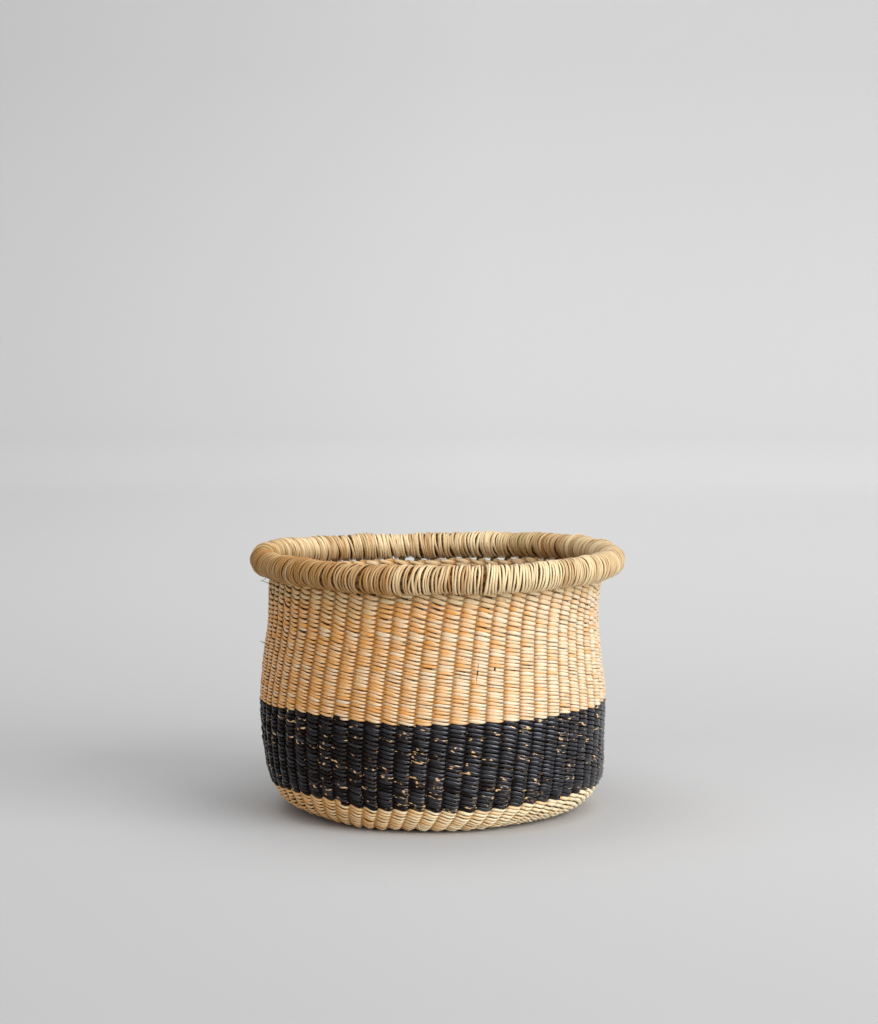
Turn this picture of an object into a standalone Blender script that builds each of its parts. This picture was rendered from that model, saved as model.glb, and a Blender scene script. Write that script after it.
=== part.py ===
"""Pot-bellied storage basket of twined straw, with a wrapped roll rim.

Stakes, each a bundle of straws, cross in two layers at the middle of the base.
As many again are added further out, and all of them bend up into the wall. Bands
of twined weft carry the stakes in channels and show one rib over each stake, outside
and inside. The stakes end under a hoop of bundled straw, and four lengths of wrapping
close round that hoop.

Metres, +Z up, origin on the floor under the middle of the base.
"""

import itertools
import math
from dataclasses import dataclass, replace
from enum import IntEnum

import bmesh
import bpy
from mathutils import Vector

# Stakes
CROSS_STAKES_PER_LAYER = 8
STAKE_WIDTH = 0.0050
STAKE_THICKNESS = 0.0026
START_WIDTH = 0.0024
START_THICKNESS = 0.0013
START_PITCH = 0.0045
START_WEB = 0.0005
HEEL_LEAN = math.radians(4.93)  # how far a stake moves round the body over the heel
WALL_LEAN = math.radians(6.86)  # and from there up to the rim

# Outline of the woven body over its ribs. Each inset is how far it lies inside the belly
BELLY_RADIUS = 0.1250
FOOT_INSET = 0.0285
HEEL_INSET = 0.0162
BLACK_BOTTOM_INSET = 0.0087
BLACK_MIDDLE_INSET = 0.0021
NECK_INSET = 0.0062
COLLAR_INSET = 0.0053
HEEL_HEIGHT = 0.0074
BLACK_BOTTOM_HEIGHT = 0.0190
BLACK_MIDDLE_HEIGHT = 0.0460
BELLY_HEIGHT = 0.0796
NECK_HEIGHT = 0.1400
COLLAR_HEIGHT = 0.1650
WEAVE_THICKNESS = 0.0060
RIB_DEPTH = 0.0022  # on each face, down to where the two strands of a row cross
SHOULDER_DEPTH = 0.0006  # half-way from a rib's crest to that place

# Rings of the base
START_RECESS_RADIUS = 0.0205
FAN_RADIUS = 0.0310
START_WEFT_RADIUS = 0.0470

# Rim
RIM_OVERHANG = 0.0045  # from the collar's ribs out to the middle of the roll
RIM_GAP = 0.0016  # bare stakes between the weft and the roll
ROLL_RADIUS = 0.0100
CORE_RADIUS = 0.0072
ROLL_SIDES = 16
CORE_SIDES = 6
WRAP_LENGTHS = 4
WRAP_FACETS = 16
STAKE_ENTRY_ANGLE = math.radians(240)  # where the stakes meet the roll, from outwards towards up

# Fits
CLEARANCE = 0.0003
CUT_OVERRUN = 0.0020

# Colours as linear red, green and blue, with roughness
NATURAL_STRAW = ((0.56, 0.36, 0.17), 0.62)
HONEY_STRAW = ((0.60, 0.42, 0.22), 0.62)
BLACK_STRAW = ((0.018, 0.017, 0.022), 0.48)
RIM_STRAW = ((0.42, 0.29, 0.12), 0.58)

PRIMARY_ENDS = 4 * CROSS_STAKES_PER_LAYER
STAKE_COUNT = 2 * PRIMARY_ENDS
STAKE_PITCH = 2 * math.pi / STAKE_COUNT
SMOOTH_ANGLE = math.radians(40)
RIM_RADIUS = BELLY_RADIUS - COLLAR_INSET + RIM_OVERHANG
RIM_HEIGHT = COLLAR_HEIGHT + RIM_GAP + ROLL_RADIUS

WALL_OUTLINE = [
    (BELLY_RADIUS - FOOT_INSET, 0.0),
    (BELLY_RADIUS - HEEL_INSET, HEEL_HEIGHT),
    (BELLY_RADIUS - BLACK_BOTTOM_INSET, BLACK_BOTTOM_HEIGHT),
    (BELLY_RADIUS - BLACK_MIDDLE_INSET, BLACK_MIDDLE_HEIGHT),
    (BELLY_RADIUS, BELLY_HEIGHT),
    (BELLY_RADIUS - NECK_INSET, NECK_HEIGHT),
    (BELLY_RADIUS - COLLAR_INSET, COLLAR_HEIGHT),
]


class Edge(IntEnum):
    """The points of the outline where a band starts or ends."""

    FOOT = 0
    BLACK_BOTTOM = 2
    BELLY = 4
    COLLAR = 6


@dataclass(frozen=True)
class Station:
    """A place on a stake: the middle of its section, the section's axes, and its size."""

    centre: Vector
    side: Vector
    outwards: Vector
    width: float
    thickness: float


def clear_scene():
    """Removes what the startup file holds."""
    for thing in list(bpy.data.objects):
        bpy.data.objects.remove(thing)


def new_collection(name):
    collection = bpy.data.collections.new(name)
    bpy.context.scene.collection.children.link(collection)
    return collection


def straw_material(name, finish):
    colour, roughness = finish
    material = bpy.data.materials.new(name)
    material.use_nodes = True
    shader = material.node_tree.nodes["Principled BSDF"]
    shader.inputs["Base Color"].default_value = (*colour, 1.0)
    shader.inputs["Roughness"].default_value = roughness
    shader.inputs["Metallic"].default_value = 0.0
    return material


def add_part(name, mesh, material):
    """A named piece of the basket, shaded smooth where its faces meet at a blunt angle."""
    part = bpy.data.objects.new(name, mesh)
    BASKET.objects.link(part)
    mesh.materials.append(material)
    mesh.shade_smooth()
    mesh.set_sharp_from_angle(angle=SMOOTH_ANGLE)
    return part


def add_cutter(name, mesh):
    cutter = bpy.data.objects.new(name, mesh)
    CUTTERS.objects.link(cutter)
    cutter.hide_render = True
    cutter.display_type = "WIRE"
    return cutter


def cut(part, *cutters):
    for cutter in cutters:
        boolean = part.modifiers.new(cutter.name, "BOOLEAN")
        boolean.operation = "DIFFERENCE"
        boolean.solver = "EXACT"
        boolean.object = cutter


def disc(name, radius, sides, low, high):
    """The mesh of an upright cylinder between two heights."""
    work = bmesh.new()
    bmesh.ops.create_cone(
        work, cap_ends=True, segments=sides, radius1=radius, radius2=radius, depth=high - low
    )
    bmesh.ops.translate(work, verts=work.verts, vec=(0, 0, (low + high) / 2))
    mesh = bpy.data.meshes.new(name)
    work.to_mesh(mesh)
    work.free()
    return mesh


def turned_mesh(name, profile, steps, angle=2 * math.pi):
    """A closed profile at +X, given from its top down its outer side, turned about Z."""
    outline = bpy.data.meshes.new(name + "_profile")
    points = [(radius, 0.0, height) for radius, height in profile]
    links = [(index, (index + 1) % len(points)) for index in range(len(points))]
    outline.from_pydata(points, links, [])
    guide = bpy.data.objects.new(name + "_profile", outline)
    CUTTERS.objects.link(guide)
    screw = guide.modifiers.new("turn", "SCREW")
    screw.axis = "Z"
    screw.angle = angle
    screw.steps = screw.render_steps = steps
    screw.use_merge_vertices = True
    screw.merge_threshold = 0.00001
    graph = bpy.context.evaluated_depsgraph_get()
    mesh = bpy.data.meshes.new_from_object(guide.evaluated_get(graph))
    mesh.name = name
    bpy.data.objects.remove(guide)
    return mesh


def polar(radius, angle, height):
    return Vector((radius * math.cos(angle), radius * math.sin(angle), height))


def wall_line(depth):
    """The body's outline moved inwards by a depth. It moves level wherever a band can end."""
    line = []
    for index, point in enumerate(WALL_OUTLINE):
        here = Vector(point)
        before = Vector(WALL_OUTLINE[index - 1]) if index else Vector((0.0, 0.0))
        after = Vector(WALL_OUTLINE[index + 1]) if index < Edge.COLLAR else 2 * here - before
        arriving = (here - before).normalized()
        along = (arriving + (after - here).normalized()).normalized()
        if index < Edge.BLACK_BOTTOM:
            moved = here + Vector((-along.y, along.x)) * depth / along.dot(arriving)
        else:
            moved = here - Vector((depth / along.y, 0.0))
        line.append((moved.x, moved.y))
    return line


def stake_end():
    """Radius and height where a stake stops, just short of the core's lower corner."""
    facet_sag = RIM_RADIUS * (1 - math.cos(STAKE_PITCH))
    reach = CORE_RADIUS + facet_sag + 3 * CLEARANCE
    return (
        RIM_RADIUS + reach * math.cos(STAKE_ENTRY_ANGLE),
        RIM_HEIGHT + reach * math.sin(STAKE_ENTRY_ANGLE),
    )


STAKE_LINE = [*wall_line(WEAVE_THICKNESS / 2), stake_end()]


def shared_out(angle, line):
    """The share of an angle that each stretch of a line takes by its length."""
    stretches = [math.dist(near, far) for near, far in zip(line, line[1:])]
    return [angle * stretch / sum(stretches) for stretch in stretches]


def leans():
    """The angle that a stake has moved round the body at each point of its line."""
    heel = shared_out(HEEL_LEAN, STAKE_LINE[: Edge.BLACK_BOTTOM + 1])
    wall = shared_out(WALL_LEAN, STAKE_LINE[Edge.BLACK_BOTTOM:])
    return [0.0, *itertools.accumulate([*heel, *wall])]


LEANS = leans()


def bundle_section(station, grow):
    """The three corners of a bundle at a station, with every side moved outwards by grow."""
    corner_angle = math.atan2(station.thickness, station.width / 2)
    half_width = station.width / 2 + grow / math.tan(corner_angle / 2)
    back = station.thickness / 3 + grow
    peak = 2 * station.thickness / 3 + grow / math.cos(corner_angle)
    return [
        station.centre + station.side * half_width - station.outwards * back,
        station.centre + station.outwards * peak,
        station.centre - station.side * half_width - station.outwards * back,
    ]


def loft(work, sections):
    """Extrudes a closed section from place to place and closes both ends."""
    order = work.verts.layers.int.get("order") or work.verts.layers.int.new("order")
    made = bmesh.ops.create_circle(work, cap_ends=False, radius=1.0, segments=len(sections[0]))
    for number, vert in enumerate(made["verts"]):
        vert[order] = number
        vert.co = sections[0][number]
    edges = list({edge for vert in made["verts"] for edge in vert.link_edges})
    bmesh.ops.contextual_create(work, geom=edges)
    for section in sections[1:]:
        extruded = bmesh.ops.extrude_edge_only(work, edges=edges)["geom"]
        new_verts = {item for item in extruded if isinstance(item, bmesh.types.BMVert)}
        for vert in new_verts:
            vert.co = section[vert[order]]
        new_edges = [item for item in extruded if isinstance(item, bmesh.types.BMEdge)]
        edges = [edge for edge in new_edges if new_verts.issuperset(edge.verts)]
    bmesh.ops.contextual_create(work, geom=edges)


def lofted_mesh(name, bodies):
    """One mesh of closed bodies, each given as a list of sections."""
    work = bmesh.new()
    for sections in bodies:
        loft(work, sections)
    bmesh.ops.recalc_face_normals(work, faces=work.faces)
    mesh = bpy.data.meshes.new(name)
    work.to_mesh(mesh)
    work.free()
    return mesh


def bundle_mesh(name, bundles, grow=0.0):
    bodies = [[bundle_section(station, grow) for station in stations] for stations in bundles]
    return lofted_mesh(name, bodies)


def run_past(end, neighbour):
    """The end station of a channel, moved on past the end of its band."""
    onwards = (end.centre - neighbour.centre).normalized()
    return replace(end, centre=end.centre + onwards * CUT_OVERRUN)


def channel_cutter(name, bundles):
    """The room for bundles, with its clearance, run out past both ends of each."""
    longer = []
    for stations in bundles:
        before = run_past(stations[0], stations[1])
        after = run_past(stations[-1], stations[-2])
        longer.append([before, *stations[1:-1], after])
    return add_cutter(name, bundle_mesh(name, longer, CLEARANCE))


def wall_station(number, index):
    """A stake's station at a point of its line, with its flat side inwards."""
    here = Vector(STAKE_LINE[index])
    before = Vector(STAKE_LINE[index - 1]) if index else Vector((0.0, here.y))
    after = Vector(STAKE_LINE[index + 1]) if index < len(STAKE_LINE) - 1 else 2 * here - before
    along = ((here - before).normalized() + (after - here).normalized()).normalized()
    angle = number * STAKE_PITCH + LEANS[index]
    side = polar(1.0, angle + math.pi / 2, 0.0)
    outwards = polar(along.y, angle, -along.x)
    return Station(polar(here.x, angle, here.y), side, outwards, STAKE_WIDTH, STAKE_THICKNESS)


def base_station(centre, side):
    return Station(centre, side, Vector((0, 0, -1)), START_WIDTH, START_THICKNESS)


def radial_station(number, radius):
    """A stake's station on the base, where it runs straight out from the middle."""
    angle = number * STAKE_PITCH
    return base_station(polar(radius, angle, WEAVE_THICKNESS / 2), polar(1.0, angle + math.pi / 2, 0.0))


def stake_between(number, first, last, start_radius=START_WEFT_RADIUS):
    """The stretch of a stake that a band carries. From the foot, it starts on the base."""
    stations = [wall_station(number, index) for index in range(first, last + 1)]
    if first == Edge.FOOT:
        stations.insert(0, radial_station(number, start_radius))
    return stations


def whole_wall(number, start_radius=START_WEFT_RADIUS):
    """A stake's stations from the start disc's edge up to its end under the rim's core."""
    return stake_between(number, Edge.FOOT, len(STAKE_LINE) - 1, start_radius)


def layer_height(along_x):
    """Height of a layer of the crossing. A web of weft lies between the two layers' channels."""
    corner_angle = math.atan2(START_THICKNESS, START_WIDTH / 2)
    apart = START_THICKNESS + CLEARANCE + CLEARANCE / math.cos(corner_angle) + START_WEB
    return WEAVE_THICKNESS / 2 + (apart / 2 if along_x else -apart / 2)


def crossing_half(number, offset, along_x):
    """Half a crossing stake on the base, from the edge of the crossing out to the added stakes."""
    reach = CROSS_STAKES_PER_LAYER * START_PITCH / 2
    angle = number * STAKE_PITCH
    outward = math.copysign(1.0, math.cos(angle) if along_x else math.sin(angle))
    if along_x:
        centre = Vector((outward * reach, offset, layer_height(along_x)))
        side = Vector((0, outward, 0))
    else:
        centre = Vector((offset, outward * reach, layer_height(along_x)))
        side = Vector((-outward, 0, 0))
    outer = [radial_station(number, radius) for radius in (FAN_RADIUS, START_WEFT_RADIUS)]
    return [base_station(centre, side), *outer]


def crossing_stake(index, along_x, up_the_wall):
    """A crossing stake's stations: over the base only, or from rim to rim."""
    steps = 2 * index - (CROSS_STAKES_PER_LAYER - 1)
    offset = steps * START_PITCH / 2
    quarter = STAKE_COUNT // 4
    ends = (steps, 2 * quarter - steps) if along_x else (quarter - steps, 3 * quarter + steps)
    halves = []
    for number in ends:
        wall = whole_wall(number)[1:] if up_the_wall else []
        halves.append([*crossing_half(number, offset, along_x), *wall])
    turned = [replace(station, side=-station.side) for station in halves[1]]
    return [*reversed(halves[0]), *turned]


def make_stakes(material):
    """The crossing stakes and the added stakes between their ends."""
    for along_x, letter in ((True, "x"), (False, "y")):
        for index in range(CROSS_STAKES_PER_LAYER):
            name = f"cross_stake_{letter}{index + 1}"
            add_part(name, bundle_mesh(name, [crossing_stake(index, along_x, True)]), material)
    for index in range(PRIMARY_ENDS):
        name = f"added_stake_{index + 1:02d}"
        stations = whole_wall(2 * index, START_WEFT_RADIUS + CLEARANCE)
        add_part(name, bundle_mesh(name, [stations]), material)


def make_start_weft(material):
    """The disc of twining that binds the crossing and shows it in a shallow recess on each face."""
    name = "base_start_weft"
    mesh = disc(name, START_WEFT_RADIUS - CLEARANCE, PRIMARY_ENDS, 0.0, WEAVE_THICKNESS)
    crossings = [
        crossing_stake(index, along_x, False)
        for along_x in (True, False)
        for index in range(CROSS_STAKES_PER_LAYER)
    ]
    recesses = []
    for face, low, high in (
        ("above", layer_height(True), 2 * WEAVE_THICKNESS),
        ("below", -WEAVE_THICKNESS, layer_height(False)),
    ):
        shape = disc("recess_" + face, START_RECESS_RADIUS, PRIMARY_ENDS // 2, low, high)
        recesses.append(add_cutter(shape.name, shape))
    cut(add_part(name, mesh, material), channel_cutter("start_channels", crossings), *recesses)


def set_back(end, neighbour):
    """The end of a band's outline, moved half a clearance towards its neighbour and kept level."""
    share = CLEARANCE / 2 / abs(neighbour[1] - end[1])
    return tuple(there + share * (near - there) for there, near in zip(end, neighbour))


def band_side(first, last, depth):
    """One side of a band at a depth in the wall, from its lower to its upper end."""
    side = wall_line(depth)[first : last + 1]
    if first != Edge.FOOT:
        side[0] = set_back(side[0], side[1])
    else:
        flat_face = 0.0 if depth < WEAVE_THICKNESS / 2 else WEAVE_THICKNESS
        side[0] = wall_line(flat_face)[Edge.FOOT]
    if last != Edge.COLLAR:
        side[-1] = set_back(side[-1], side[-2])
    return side


def ribbed_mesh(name, sides, first):
    """A solid round the axis with leaning ribs. Its corners take the sides in turn, for each stake."""
    sections = []
    for *places, lean in zip(*sides, LEANS[first:]):
        corners = []
        for number in range(len(sides) * STAKE_COUNT):
            radius, height = places[number % len(sides)]
            corners.append(polar(radius, number * STAKE_PITCH / len(sides) + lean, height))
        sections.append(corners)
    return lofted_mesh(name, [sections])


def run_on(end, neighbour):
    """A point past the end of a side, straight on from its neighbour."""
    share = CUT_OVERRUN / math.dist(end, neighbour)
    return tuple(there + share * (there - near) for there, near in zip(end, neighbour))


def room_cutter(name, first, last):
    """The room inside a band, open at each end that another band or the rim continues."""
    sides = []
    for depth in (WEAVE_THICKNESS, WEAVE_THICKNESS - RIB_DEPTH):
        side = band_side(first, last, depth)
        if first != Edge.FOOT:
            side[0] = run_on(side[0], side[1])
        side[-1] = run_on(side[-1], side[-2])
        sides.append(side)
    return add_cutter(name, ribbed_mesh(name, sides, first))


def make_band(name, first, last, material):
    """A band of twined weft, ribbed on both faces over its stakes, with a channel for each."""
    depths = (0.0, SHOULDER_DEPTH, RIB_DEPTH, SHOULDER_DEPTH)
    sides = [band_side(first, last, depth) for depth in depths]
    band = add_part(name, ribbed_mesh(name, sides, first), material)
    cut(band, room_cutter(name + "_room", first, last))
    if first == Edge.FOOT:
        hole = disc("start_hole", START_WEFT_RADIUS, PRIMARY_ENDS, -WEAVE_THICKNESS, 2 * WEAVE_THICKNESS)
        cut(band, add_cutter("start_hole", hole))
    bundles = [stake_between(number, first, last) for number in range(STAKE_COUNT)]
    cut(band, channel_cutter(name + "_channels", bundles))


def ring_section(radius, sides, first_angle):
    """A regular section of the rim, as radius and height, clockwise from its first corner."""
    corners = []
    for number in range(sides):
        angle = first_angle - 2 * math.pi * number / sides
        corners.append((RIM_RADIUS + radius * math.cos(angle), RIM_HEIGHT + radius * math.sin(angle)))
    return corners


def make_rim_core(material):
    """The hoop of bundled straw that the stakes end under."""
    section = ring_section(CORE_RADIUS, CORE_SIDES, STAKE_ENTRY_ANGLE)
    add_part("rim_core", turned_mesh("rim_core", section, PRIMARY_ENDS), material)


def core_room():
    """The room for the core inside the wrapping, with the slot that the stakes come up through."""
    room_radius = CORE_RADIUS + CLEARANCE / math.cos(math.pi / CORE_SIDES)
    slot_half_width = 2 * STAKE_THICKNESS / 3 + 4 * CLEARANCE
    shoulder = room_radius - slot_half_width * math.tan(math.pi / CORE_SIDES)
    outwards = Vector((math.cos(STAKE_ENTRY_ANGLE), math.sin(STAKE_ENTRY_ANGLE)))
    across = Vector((-outwards.y, outwards.x))
    middle = Vector((RIM_RADIUS, RIM_HEIGHT))
    slot = [
        middle + outwards * shoulder + across * slot_half_width,
        middle + outwards * 2 * ROLL_RADIUS + across * slot_half_width,
        middle + outwards * 2 * ROLL_RADIUS - across * slot_half_width,
        middle + outwards * shoulder - across * slot_half_width,
    ]
    hexagon = ring_section(room_radius, CORE_SIDES, STAKE_ENTRY_ANGLE)[1:]
    profile = [*hexagon, *[tuple(point) for point in slot]]
    return add_cutter("core_room", turned_mesh("core_room", profile, PRIMARY_ENDS))


def make_rim_wraps(material):
    """The lengths of wrapping round the core, end to end."""
    room = core_room()
    end_gap = CLEARANCE / (RIM_RADIUS - ROLL_RADIUS)
    sweep = 2 * math.pi / WRAP_LENGTHS - end_gap
    section = ring_section(ROLL_RADIUS, ROLL_SIDES, STAKE_ENTRY_ANGLE + math.pi / ROLL_SIDES)
    for index in range(WRAP_LENGTHS):
        name = f"rim_wrap_{index + 1}"
        mesh = turned_mesh(name, section, WRAP_FACETS, sweep)
        close_ends(mesh)
        wrap = add_part(name, mesh, material)
        wrap.rotation_euler.z = 2 * math.pi * index / WRAP_LENGTHS + STAKE_PITCH / 2
        cut(wrap, room)


def close_ends(mesh):
    """Fills the open ends of a swept tube and turns its faces outwards."""
    work = bmesh.new()
    work.from_mesh(mesh)
    bmesh.ops.holes_fill(work, edges=[edge for edge in work.edges if edge.is_boundary])
    bmesh.ops.recalc_face_normals(work, faces=work.faces)
    work.to_mesh(mesh)
    work.free()


def main():
    natural = straw_material("natural_straw", NATURAL_STRAW)
    honey = straw_material("honey_straw", HONEY_STRAW)
    black = straw_material("black_straw", BLACK_STRAW)
    rim = straw_material("rim_straw", RIM_STRAW)
    make_stakes(natural)
    make_start_weft(natural)
    make_band("base_weft", Edge.FOOT, Edge.BLACK_BOTTOM, natural)
    make_band("black_band_weft", Edge.BLACK_BOTTOM, Edge.BELLY, black)
    make_band("upper_wall_weft", Edge.BELLY, Edge.COLLAR, honey)
    make_rim_core(rim)
    make_rim_wraps(rim)


clear_scene()
BASKET = new_collection("storage_basket")
CUTTERS = new_collection("cutters")
CUTTERS.hide_render = True
main()
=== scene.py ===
"""Looks of the pot-bellied straw basket: every stake, twined row and turn of the rim.

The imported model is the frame. The weave is built round the middle of its wall: stakes run
along that line, and two strands pass each other before and behind every stake, row after
row. The wrapping of the rim is wound round the roll a turn at a time. These strands, and the
stray ends of straw, change their section on the way, which no primitive or modifier gives,
so they are swept in mesh code. Floor, lamps and camera come from Blender's own operators.

Metres and radians, +Z up, origin on the floor under the middle of the base.
"""

import logging
import math
from dataclasses import dataclass, field
from enum import Enum

import bpy
import numpy as np
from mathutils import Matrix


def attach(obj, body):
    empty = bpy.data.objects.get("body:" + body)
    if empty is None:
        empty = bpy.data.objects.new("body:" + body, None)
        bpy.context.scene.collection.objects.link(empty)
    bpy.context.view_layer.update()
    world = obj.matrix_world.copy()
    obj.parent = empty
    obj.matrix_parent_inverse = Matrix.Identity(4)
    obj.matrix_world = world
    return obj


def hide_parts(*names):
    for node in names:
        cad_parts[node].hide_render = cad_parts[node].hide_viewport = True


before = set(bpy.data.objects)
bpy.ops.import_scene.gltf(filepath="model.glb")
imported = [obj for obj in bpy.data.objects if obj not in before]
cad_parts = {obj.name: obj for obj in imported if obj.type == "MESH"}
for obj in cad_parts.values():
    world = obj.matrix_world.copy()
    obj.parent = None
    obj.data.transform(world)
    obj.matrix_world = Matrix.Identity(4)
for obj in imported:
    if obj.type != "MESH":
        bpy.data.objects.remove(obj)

BODY = "root"
TURN = 2 * math.pi
STAKES = 64
STAKE_PITCH = TURN / STAKES
PER_LAYER = 8
UP = np.array([0.0, 0.0, 1.0])

Array = np.ndarray
Values = Array | float
Colour = tuple[float, float, float]
Place = tuple[float, float, float]
Span = tuple[float, float]
Socket = bpy.types.NodeSocket
# The points of a line, and the directions across and outwards at each.
Line = tuple[Array, Array, Array]


class Slot(Enum):
    """The material slots, by name."""

    NATURAL = "natural_straw"
    HONEY = "honey_straw"
    BLACK = "black_straw"
    RIM = "rim_straw"


class Layer(Enum):
    """The two layers of stakes that cross in the middle of the base."""

    X = "x"
    Y = "y"


def smooth_step(low: float, high: float, value: Array) -> Array:
    """Rises smoothly from 0 where the value is low to 1 where it is high."""
    share = np.clip((value - low) / (high - low), 0.0, 1.0)
    return share * share * (3 - 2 * share)


def bell(distance: Array, spread: float) -> Array:
    """Falls smoothly from 1 at no distance, on both sides, to about a third at the spread."""
    return np.exp(-((distance / spread) ** 2))


def joined(*lines: Line) -> Line:
    """Joins lines end to end."""
    return tuple(np.concatenate(parts) for parts in zip(*lines))


@dataclass(frozen=True)
class Wander:
    """A smooth, seeded unevenness over the wall that closes after a full turn.

    Attributes:
        size: Its usual height.
        seed: What its waves are drawn from.
        waves: How many waves are laid over each other.
        most_turns: The most crests that a wave has round the basket.
        climb: The most radians that a wave moves on for each metre up the wall.
    """

    size: float
    seed: int
    waves: int = 7
    most_turns: int = 9
    climb: float = 60.0

    def at(self, angle: Values, along: Values = 0.0) -> Array:
        """Reads the unevenness.

        Args:
            angle: Angles round the basket.
            along: Places along the wall's line.

        Returns:
            The height at each of them.
        """
        draw = np.random.default_rng(self.seed)
        total = np.zeros(np.broadcast(angle, along).shape)
        for _ in range(self.waves):
            crests = int(draw.integers(1, self.most_turns + 1))
            climb = draw.uniform(-self.climb, self.climb)
            total = total + np.sin(crests * angle + climb * along + draw.uniform(0, TURN))
        return self.size * total / math.sqrt(self.waves / 2)


@dataclass(frozen=True)
class Profile:
    """A value that is given at a few angles round the basket.

    Attributes:
        degrees: The angles, rising.
        values: The value at each of them.
    """

    degrees: tuple[float, ...]
    values: tuple[float, ...]

    def at(self, angle: Array) -> Array:
        """Reads the value at angles in radians, and between the given ones in proportion."""
        return np.interp(np.degrees(angle), self.degrees, self.values, period=360.0)


class Chance:
    """Draws values for the stakes or turns that a strand passes, and reads them along it."""

    def __init__(self, seed: int, passed: Array, count: int) -> None:
        """Starts the draws.

        Args:
            seed: What they are drawn from.
            passed: How many stakes or turns are passed at each station of the strand.
            count: How many the whole strand passes.
        """
        self.draw = np.random.default_rng(seed)
        self.passed = passed
        self.count = count

    def between(self, values: Array, parts: int = 1) -> Array:
        """Reads values given at each stake or turn, or at each part of one."""
        return np.interp(self.passed, np.arange(len(values)) / parts, values)

    def normal(self, middle: float, size: float, parts: int = 1) -> Array:
        """Draws a value round a middle for each, or for each part of one."""
        return self.between(self.draw.normal(middle, size, parts * self.count + 1), parts)

    def uniform(self, low: float, high: float) -> Array:
        """Draws a value from low to high for each."""
        return self.between(self.draw.uniform(low, high, self.count + 1))

    def straws(self, lengths: tuple[int, int]) -> Array:
        """Splices in straws that pass from the first number up to, not with, the second."""
        return np.searchsorted(np.cumsum(self.draw.integers(*lengths, self.count)), self.passed)

    def own(self, straws: Array, middle: float, size: float) -> Array:
        """Draws a value round a middle that a straw keeps over its whole length."""
        return self.draw.normal(middle, size, self.count + 1)[straws]


RIM_LIFT = Profile(
    (-180, -150, -120, -90, -60, -30, 0, 30, 50, 70, 90, 110, 140, 165),
    (0.0040, 0.0013, 0.0, 0.0, 0.0002, 0.0012, 0.0022)
    + (0.0026, 0.0024, 0.0008, -0.0008, -0.0006, 0.0008, 0.0035),
)
# Painted light and shade round the basket, added to the straw's tone of the wall, the heel and the black
# band: deeper on the shaded left, paler towards the lit right.
STRAW_PAINTED_LIGHT = Profile(
    (-180, -150, -120, -90, -60, -30, 0, 90), (0.48, 0.46, 0.30, 0.03, -0.19, -0.22, -0.17, 0.10)
)
HEEL_PAINTED_LIGHT = Profile(
    (-180, -150, -120, -90, -60, -30, 0, 90), (0.62, 0.60, 0.36, 0.05, -0.26, -0.42, -0.40, 0.10)
)
DYE_PAINTED_LIGHT = Profile((-180, -135, -90, -45, 0, 90), (0.50, 0.42, 0.04, -0.28, -0.30, 0.0))
# Stakes wander sideways, and the rows that pass them go along.
SIDEWAYS = Wander(0.045 * STAKE_PITCH, 6, climb=25.0)


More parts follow.
